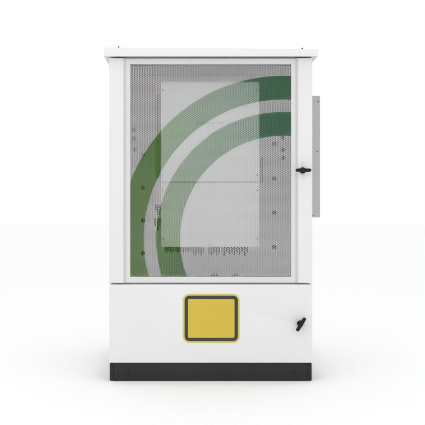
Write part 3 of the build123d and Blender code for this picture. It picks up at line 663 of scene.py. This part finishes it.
def handlePieces(name):
    latch, door = name + "_latch", name + "_door"
    baseLow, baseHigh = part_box(name + "_handle_base")
    centre = (baseLow + baseHigh) / 2
    black = finishes["handle_black"]
    roseMesh = bmesh.new()
    stamp(roseMesh, turned(handle["rose"], 48), at((centre.x, frontY, centre.z), "front"))
    replacedBase = (name + "_handle_base",)
    addPiece(name + "HandleRose", roseMesh, black, door, replacedBase)
    thick = handle["bar"]["thick"]
    barMesh = bmesh.new()
    raisedFace(barMesh, [(x, y, 0) for x, y in barOutline()], (0, 0, thick))
    top = [edge for edge in barMesh.edges if min(vert.co.z for vert in edge.verts) > thick * 0.9]
    roundEdges(barMesh, top, handle["bar"]["bevel"], 4)
    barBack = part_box(name + "_handle")[0].y + thick
    neckY = frontY - handle["neck"]["start"]
    radius, length = handle["neck"]["radius"], neckY - barBack + handle["neck"]["sunk"]
    neck = turned(((0.0, 0.0), (radius, 0.0), (radius, length), (0.0, length)), 28)
    mesh = bmesh.new()
    turn = math.radians(handle["turn"][name])
    stamp(mesh, keep(barMesh), at((centre.x, barBack, centre.z), "front", turn))
    stamp(mesh, neck, at((centre.x, neckY, centre.z), "front"))
    addPiece(name + "HandleBar", mesh, black, latch, (name + "_handle",), 30)


for name in ("upper", "lower"):
    handlePieces(name)
print("handles made")

# lifting eyes: collar and ring
eye = {
    "ring": 0.012,
    "wire": 0.0049,
    "seat": 0.0175,
    "inset": 0.012,
    "below": 0.0002,
    "collar": (
        (0, 0), (0.0119, 0), (0.0119, 0.006), (0.0096, 0.0096), (0.0064, 0.0126), (0, 0.0126),
    ),
}
eyeLow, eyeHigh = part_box("lifting_eyes")


def eyePiece():
    reach = eye["ring"] + eye["wire"]
    ringShape = wireRing(eye["ring"], eye["wire"], 16, 40)
    collar = turned(eye["collar"])
    mesh = bmesh.new()
    high = eyeHigh.z - reach - eye["below"]
    low = eyeLow.z + eye["seat"]
    for x, centre in ((eyeLow.x + eye["inset"], high), (eyeHigh.x - eye["inset"], low)):
        for y in (eyeLow.y + reach, eyeHigh.y - reach):
            stamp(mesh, ringShape, at((x, y, centre), "right"))
            stamp(mesh, collar, at((x, y, centre - eye["seat"])))
    return mesh


addPiece("liftingEyeRings", eyePiece(), blackSteel, "cabinet", ("lifting_eyes",))
print("lifting eyes made")

# plinth side rails with rounded edges
sideRail = {"rounding": 0.008, "segments": 4}
for side in ("left", "right"):
    low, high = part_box("plinth_" + side + "_rail")
    railMesh = bmesh.new()
    addBox(railMesh, low, high, sideRail["rounding"], sideRail["segments"])
    pieceName, replacedRail = "plinthRail" + side.capitalize(), ("plinth_" + side + "_rail",)
    addPiece(pieceName, railMesh, finishes["plinth_paint"], "cabinet", replacedRail)


# bolts, each a hexagonal head on a washer, and round-headed screws
def washerShape(radius, height):
    edge = min(height * 0.4, 0.0006)
    return turned(
        ((0, 0), (radius, 0), (radius, height - edge), (radius - edge, height), (0, height)),
    )


def headShape(radius, height):
    return prismOf(6, radius, height, min(height * 0.25, 0.001))


def boltShape(headRadius, headHeight, washerRadius, washerHeight):
    mesh = bmesh.new()
    stamp(mesh, washerShape(washerRadius, washerHeight), Matrix.Identity(4))
    stamp(mesh, headShape(headRadius, headHeight), Matrix.Translation((0, 0, washerHeight)))
    return keep(mesh)


def screwShape(radius, height):
    # round head with a sunk recess
    recess, depth = radius * 0.38, height * 0.5
    return turned(
        ((0, 0), (radius, 0), (radius, height * 0.35),
         (radius * 0.86, height * 0.78), (radius * 0.6, height),
         (recess, height), (recess * 0.85, height - depth), (0, height - depth)),
        24,
    )


def onFace(face, places, way="front"):
    return [((x, face, z), way) for x, z in places]


def fixings(name, shape, spots, material, replaced=()):
    mesh = bmesh.new()
    for index, (spot, way) in enumerate(spots):
        stamp(mesh, shape, at(spot, way, index * 0.7))
    addPiece(name, mesh, material, "cabinet", replaced, 35)


# bolts: radius and height of the head, then of the washer; screws: radius and height
bolts = {
    "plinth": (0.0088, 0.0068, 0.012, 0.0025),
    "bulkhead": (0.0125, 0.0058, 0.0170, 0.0022),
    "panel": (0.0085, 0.0056, 0.0100, 0.0022),
    "unitScrew": (0.006, 0.003),
    "hoodScrew": (0.005, 0.0025),
    "lens": (0.006, 0.003),
    "terminal": (0.009, 0.004),
    "boxScrew": (0.006, 0.003),
}
plinthHead, plinthWasher = bolts["plinth"][:2], bolts["plinth"][2:]
boltLow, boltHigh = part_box("plinth_bolts")
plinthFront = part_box("plinth_front_rail")[0].y
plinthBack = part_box("plinth_rear_rail")[1].y
boltX, boltZ = boltHigh.x - plinthWasher[0], (boltLow.z + boltHigh.z) / 2
for name, shape, lift, material in (
    ("plinthWashers", washerShape(*plinthWasher), 0, finishes["fitting_black"]),
    ("plinthBoltHeads", headShape(*plinthHead), plinthWasher[1], finishes["plinth_paint"]),
):
    spots = []
    for x in (-boltX, boltX):
        spots += [((x, plinthFront - lift, boltZ), "front"), ((x, plinthBack + lift, boltZ), "back")]
    fixings(name, shape, spots, material, ("plinth_bolts",))

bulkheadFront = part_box("bulkhead")[0].y
bulkheadPlaces = (
    (-0.564, 1.788), (-0.566, 1.721), (-0.559, 1.638),
    (-0.497, 1.349), (-0.497, 1.101), (-0.497, 0.852),
    (0.562, 1.727), (0.563, 1.635), (0.566, 1.575),
    (0.497, 1.681), (0.497, 1.419), (0.497, 1.159), (0.497, 0.898),
    (-0.497, 1.600),
)
fixings(
    "bulkheadBoltHeads", boltShape(*bolts["bulkhead"]), onFace(bulkheadFront, bulkheadPlaces),
    finishes["fitting_black"], ("bulkhead_bolts",),
)

rearBolts = {"columns": (-0.678, -0.022, 0.022, 0.678), "rows": 4, "end": 0.0087}
panelLow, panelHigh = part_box("rear_panel_bolts")
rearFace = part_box("rear_panels")[1].y
rowSpan = panelHigh.z - panelLow.z - 2 * rearBolts["end"]
panelRows = [
    panelLow.z + rearBolts["end"] + rowSpan * row / (rearBolts["rows"] - 1)
    for row in range(rearBolts["rows"])
]
fixings(
    "rearPanelBoltHeads", boltShape(*bolts["panel"]),
    onFace(rearFace, product(rearBolts["columns"], panelRows), "back"),
    finishes["zinc"], ("rear_panel_bolts",),
)

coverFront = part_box("unit_upper_cover")[0].y
unitLow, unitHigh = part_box("unit_body")
# screws of the unit's covers: three on its middle line, and four up each side
unitScrews = {"gap": 0.002, "middle": 0.017, "side": 0.333, "corner": 0.0595, "aboveGap": 0.051}
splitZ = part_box("unit_wiring_cover")[1].z + unitScrews["gap"]
middle, corner = unitScrews["middle"], unitScrews["corner"]
screwPlaces = [(0, unitHigh.z - middle), (0, splitZ - middle), (0, unitLow.z + middle)]
for x in (-unitScrews["side"], unitScrews["side"]):
    screwPlaces += [
        (x, unitHigh.z - corner), (x, splitZ + unitScrews["aboveGap"]),
        (x, splitZ - corner), (x, unitLow.z + corner),
    ]
fixings(
    "unitScrewHeads", screwShape(*bolts["unitScrew"]), onFace(coverFront, screwPlaces),
    darkSteel, ("unit_screws",),
)
print("bolts and screws made")

# indicator: panel standing slightly proud, dark slot and two lenses below
indicator = {
    "proud": 0.003,
    "rounding": 0.0012,
    "slotInset": 0.006,
    "slotDepths": (0.0036, 0.002),
    "slotHeights": (1.7935, 1.7985),
    "lenses": ((-0.017, 1.723), (0.020, 1.723)),
}
indicatorLow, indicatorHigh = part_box("unit_indicator")
panelMesh = bmesh.new()
addBox(
    panelMesh, (indicatorLow.x, coverFront - indicator["proud"], indicatorLow.z),
    (indicatorHigh.x, coverFront, indicatorHigh.z), indicator["rounding"],
)
addPiece(
    "indicatorPanel", panelMesh, finishes["unit_grey"], "cabinet", ("unit_indicator",),
)
slotMesh = bmesh.new()
slotFront, slotBack = (coverFront - depth for depth in indicator["slotDepths"])
slotBottom, slotTop = indicator["slotHeights"]
addBox(
    slotMesh, (indicatorLow.x + indicator["slotInset"], slotFront, slotBottom),
    (indicatorHigh.x - indicator["slotInset"], slotBack, slotTop),
)
for spot, way in onFace(coverFront, indicator["lenses"]):
    stamp(slotMesh, screwShape(*bolts["lens"]), at(spot, way))
addPiece("indicatorSlot", slotMesh, finishes["strip_grey"], "cabinet")

# cable fittings under the unit: five connector blocks, and ribbed plugs that reach below them
# blocks: middle, half width and drop; plugs: middle and drop
fittings = {
    "blocks": (
        (-0.2925, 0.0335, 0.033), (-0.189, 0.0600, 0.033), (-0.0845, 0.0435, 0.050),
        (0.0325, 0.0415, 0.050), (0.181, 0.0945, 0.044),
    ),
    "plugs": (
        (-0.308, 0.045), (-0.277, 0.045), (-0.228, 0.045), (-0.189, 0.045), (-0.150, 0.045),
        (-0.106, 0.067), (-0.063, 0.067), (0.010, 0.067), (0.055, 0.067), (0.106, 0.072),
        (0.145, 0.060), (0.178, 0.064), (0.213, 0.064), (0.255, 0.069),
    ),
    "plugRadius": 0.0165,
    "depth": 0.060,
    "rounding": 0.004,
}
glandLow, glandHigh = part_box("unit_glands")
glandY = (glandLow.y + glandHigh.y) / 2


def glandShape(radius, drop):
    # hexagonal nut, three ribs and a narrowing end
    nut = drop * 0.30
    mesh = bmesh.new()
    stamp(mesh, prismOf(6, radius, nut, 0.001), Matrix.Identity(4))
    outline = [(0, 0), (radius * 0.84, 0), (radius * 0.84, nut + drop * 0.06)]
    for rib in range(3):
        level = nut + drop * (0.08 + rib * 0.14)
        outline += [
            (radius * 0.70, level), (radius * 0.70, level + drop * 0.03),
            (radius * 0.80, level + drop * 0.05), (radius * 0.80, level + drop * 0.11),
        ]
    outline += [
        (radius * 0.72, drop * 0.82), (radius * 0.55, drop * 0.95), (radius * 0.40, drop), (0, drop),
    ]
    stamp(mesh, turned(outline, 32), Matrix.Identity(4))
    return keep(mesh)


fittingMesh = bmesh.new()
halfDepth = fittings["depth"] / 2
for x, half, drop in fittings["blocks"]:
    low = (x - half, glandY - halfDepth, unitLow.z - drop)
    addBox(fittingMesh, low, (x + half, glandY + halfDepth, unitLow.z), fittings["rounding"])
for x, drop in fittings["plugs"]:
    stamp(fittingMesh, glandShape(fittings["plugRadius"], drop), at((x, glandY, unitLow.z), "down"))
addPiece(
    "unitFittings", fittingMesh, finishes["fitting_black"], "cabinet", ("unit_glands",),
)

# plugs on the left side of the unit: outer side, bottom and top of each
sidePlugs = {
    "y": (-0.40, -0.34),
    "places": ((-0.395, 1.174, 1.220), (-0.403, 1.060, 1.122)),
    "rounding": 0.004,
    "gland": (0.014, 0.032),
}
plugMesh = bmesh.new()
plugFront, plugBack = sidePlugs["y"]
for outer, bottom, top in sidePlugs["places"]:
    low, high = (outer, plugFront, bottom), (unitLow.x, plugBack, top)
    addBox(plugMesh, low, high, sidePlugs["rounding"])
    under = ((outer + unitLow.x) / 2, (plugFront + plugBack) / 2, bottom)
    stamp(plugMesh, glandShape(*sidePlugs["gland"]), at(under, "down"))
addPiece("unitSidePlugs", plugMesh, finishes["fitting_black"], "cabinet")

# dark strips standing on the bulkhead beside the unit: left, right, bottom and top of each
darkStrips = {
    "places": ((-0.401, -0.366, 1.422, 2.051), (0.393, 0.409, 1.392, 1.581)),
    "depth": 0.014,
    "rounding": 0.002,
}
# dark grey for the strips, much darker than the bulkhead
channelPaint = powderCoat("channelPaint", (0.13, 0.13, 0.135))
darkStripMesh = bmesh.new()
for left, right, bottom, top in darkStrips["places"]:
    low, high = (left, bulkheadFront - darkStrips["depth"], bottom), (right, bulkheadFront, top)
    addBox(darkStripMesh, low, high, darkStrips["rounding"])
addPiece("cableChannels", darkStripMesh, channelPaint, "cabinet")

# domed cable glands on the deck
deckLow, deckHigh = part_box("deck_glands")
deckY = (deckLow.y + deckHigh.y) / 2
domes = {
    "middles": (0.035, 0.189),
    "outline": (
        (0, 0), (0.030, 0), (0.030, 0.003), (0.0285, 0.0042), (0.024, 0.0046),
        (0.0225, 0.0090), (0.0185, 0.0122), (0.0110, 0.0136), (0, 0.0139),
    ),
}
dome = turned(domes["outline"], 40)
domeMesh = bmesh.new()
for x in domes["middles"]:
    stamp(domeMesh, dome, at((x, deckY, deckLow.z)))
addPiece(
    "deckGlandDomes", domeMesh, finishes["fitting_black"], "cabinet", ("deck_glands",),
)
print("unit fittings made")

# exhaust hood: folded sheet with a level top, open below and towards the wall
hood = {"sheet": 0.002, "topDrop": 0.007, "edge": 0.0022}
hoodLow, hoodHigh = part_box("exhaust_hood")


def hoodPiece():
    mesh = bmesh.new()
    low, high = hoodLow.copy(), hoodHigh.copy()
    high.z -= hood["topDrop"]
    addBox(mesh, low, high)
    mesh.normal_update()
    opened = [face for face in mesh.faces if face.normal.z < -0.5 or face.normal.x < -0.5]
    bmesh.ops.delete(mesh, geom=opened, context="FACES")
    folds = [edge for edge in mesh.edges if len(edge.link_faces) == 2]
    roundEdges(mesh, folds, hood["edge"], 3)
    bmesh.ops.recalc_face_normals(mesh, faces=mesh.faces[:])
    if max(mesh.faces, key=lambda face: face.calc_center_median().x).normal.x < 0:
        bmesh.ops.reverse_faces(mesh, faces=mesh.faces[:])
    bmesh.ops.solidify(mesh, geom=mesh.faces[:], thickness=hood["sheet"])
    bmesh.ops.recalc_face_normals(mesh, faces=mesh.faces[:])
    return mesh


addPiece("hoodShell", hoodPiece(), finishes["hood_grey"], "cabinet", ("exhaust_hood",), 30)

# hood screws: three in its front face and three in its back
hoodScrews = {"top": (0.015, 0.047), "middle": (0.020, 1.600), "low": (0.038, 0.015)}
hoodPlaces = (
    (hoodHigh.x - hoodScrews["top"][0], hoodHigh.z - hoodScrews["top"][1]),
    (hoodHigh.x - hoodScrews["middle"][0], hoodScrews["middle"][1]),
    (hoodLow.x + hoodScrews["low"][0], hoodLow.z + hoodScrews["low"][1]),
)
hoodSpots = onFace(hoodLow.y, hoodPlaces) + onFace(hoodHigh.y, hoodPlaces, "back")
fixings(
    "hoodScrewHeads", screwShape(*bolts["hoodScrew"]), hoodSpots,
    darkSteel, ("hood_screws",),
)

# fans: curved blades on a domed hub, with a wire guard over each
fan = {
    "blades": 7,
    "chord": 0.62,
    "sweep": 0.35,
    "depth": 0.0105,
    "middle": 0.007,
    "sheet": 0.0014,
    "tipGap": 0.0005,
    "hub": 0.043,
    "bore": 0.0045,
    "guard": {"rings": (0.05, 0.075, 0.1, 0.122), "wire": 0.0009, "x": 0.6989},
}


def bladeShape(tip):
    mesh = bmesh.new()
    bmesh.ops.create_grid(mesh, x_segments=10, y_segments=8, size=0.5)
    root = fan["hub"] * 0.95
    for vert in mesh.verts:
        share, along = vert.co.x + 0.5, vert.co.y
        radius = root + (tip - root) * share
        angle = fan["sweep"] * share * share + along * fan["chord"] * (1 - 0.12 * share)
        lift = along * fan["depth"] * (1 - 0.3 * share)
        vert.co = Vector((radius * math.cos(angle), radius * math.sin(angle), fan["middle"] + lift))
    bmesh.ops.solidify(mesh, geom=mesh.faces[:], thickness=fan["sheet"])
    bmesh.ops.recalc_face_normals(mesh, faces=mesh.faces[:])
    return keep(mesh)


def rotorPiece(index):
    low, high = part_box("fan_rotor_" + index)
    blade = bladeShape(min(high.y - low.y, high.z - low.z) / 2 - fan["tipGap"])
    rim, bore = fan["hub"], fan["bore"]
    hub = turned(
        ((bore, 0.0002), (rim, 0.0002), (rim, 0.0112), (rim - 0.003, 0.0132), (0.02, 0.0138),
         (bore, 0.0138), (bore, 0.0002)),
        48,
    )
    mesh = bmesh.new()
    spot = (low.x, (low.y + high.y) / 2, (low.z + high.z) / 2)
    stamp(mesh, hub, at(spot, "right"))
    for turn in range(fan["blades"]):
        stamp(mesh, blade, at(spot, "right", math.tau * turn / fan["blades"]))
    body, replacedRotor = "rotor_" + index, ("fan_rotor_" + index,)
    addPiece("fanBlades" + index, mesh, finishes["fan_black"], body, replacedRotor)
    guard = bmesh.new()
    for radius in fan["guard"]["rings"]:
        loop = wireRing(radius, fan["guard"]["wire"], 8, 64)
        stamp(guard, loop, at((fan["guard"]["x"], spot[1], spot[2]), "right"))
    addPiece("fanGuard" + index, guard, finishes["zinc"], "cabinet")


for index in ("1", "2", "3"):
    rotorPiece(index)
print("fans made")

# breaker terminals and control box screws
terminals = {"back": 0.016, "side": 0.030, "middle": 0.070, "end": 0.035}
breakerLow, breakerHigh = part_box("breaker_body")
terminalSpots = onFace(breakerLow.y + terminals["back"], product(
    (
        breakerLow.x + terminals["side"], breakerLow.x + terminals["middle"],
        breakerHigh.x - terminals["side"],
    ),
    (breakerLow.z + terminals["end"], breakerHigh.z - terminals["end"]),
))
fixings("breakerTerminals", screwShape(*bolts["terminal"]), terminalSpots, finishes["zinc"])
boxScrewInset = 0.018
controlLow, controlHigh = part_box("control_box")
controlSpots = onFace(controlLow.y, product(
    (controlLow.x + boxScrewInset, controlHigh.x - boxScrewInset),
    (controlLow.z + boxScrewInset, controlHigh.z - boxScrewInset),
))
fixings("controlBoxScrews", screwShape(*bolts["boxScrew"]), controlSpots, finishes["zinc"])
print("lower compartment dressed")

# a crisp film, so that the fine holes of the sheet stay apart
scene.cycles.filter_width = 1.0
